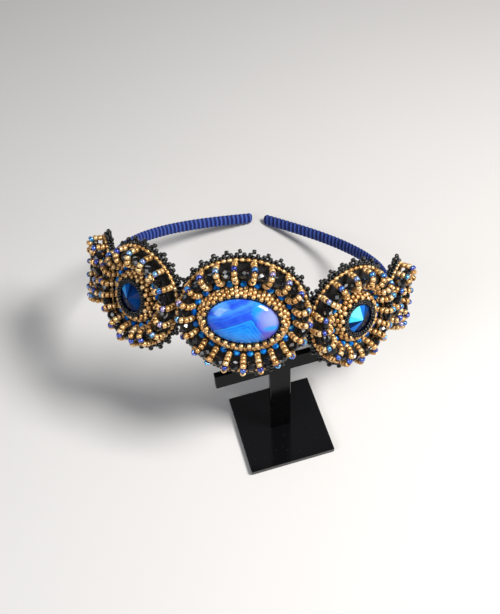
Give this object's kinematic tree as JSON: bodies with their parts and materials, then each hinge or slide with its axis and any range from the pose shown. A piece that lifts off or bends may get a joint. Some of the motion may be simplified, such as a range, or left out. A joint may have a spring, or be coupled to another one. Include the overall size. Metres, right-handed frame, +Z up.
{
  "type": "beaded headband on display stand",
  "caption": "Springy hoop for the head with a row of domed bead medallions round blue stones, resting on a T-shaped stand.",
  "frame": {"origin": "middle of the underside of the stand's base, on the table", "axes": "+Z up; the headband's front faces -Y; +X to the right of a viewer who stands in front"},
  "size_m": [0.1494, 0.1548, 0.1076],
  "materials": {
    "navy_cord": "closely wrapped cord",
    "black_leather": "fine grain",
    "black_glass": "opaque polished beads",
    "gold_beads": "metallic gold beads",
    "blue_agate": "polished, banded",
    "blue_crystal": "cut and foiled",
    "black_acrylic": "polished"
  },
  "bodies": {
    "root": {"band": "navy_cord", "backing": "black_leather", "picot_edging": "black_glass", "cabochon": "blue_agate", "stone_left_inner": "blue_crystal", "stone_left_outer": "blue_crystal", "stone_right_inner": "blue_crystal", "stone_right_outer": "blue_crystal", "bezel_center": "gold_beads", "bezel_left_inner": "gold_beads", "bezel_left_outer": "gold_beads", "bezel_right_inner": "gold_beads", "bezel_right_outer": "gold_beads", "spokes_center": "gold_beads", "spokes_left_inner": "gold_beads", "spokes_left_outer": "gold_beads", "spokes_right_inner": "gold_beads", "spokes_right_outer": "gold_beads", "cut_beads_center": "black_glass", "cut_beads_left_inner": "black_glass", "cut_beads_left_outer": "black_glass", "cut_beads_right_inner": "black_glass", "cut_beads_right_outer": "black_glass", "stand_base": "black_acrylic", "stand_tee": "black_acrylic"}
  },
  "joints": []
}
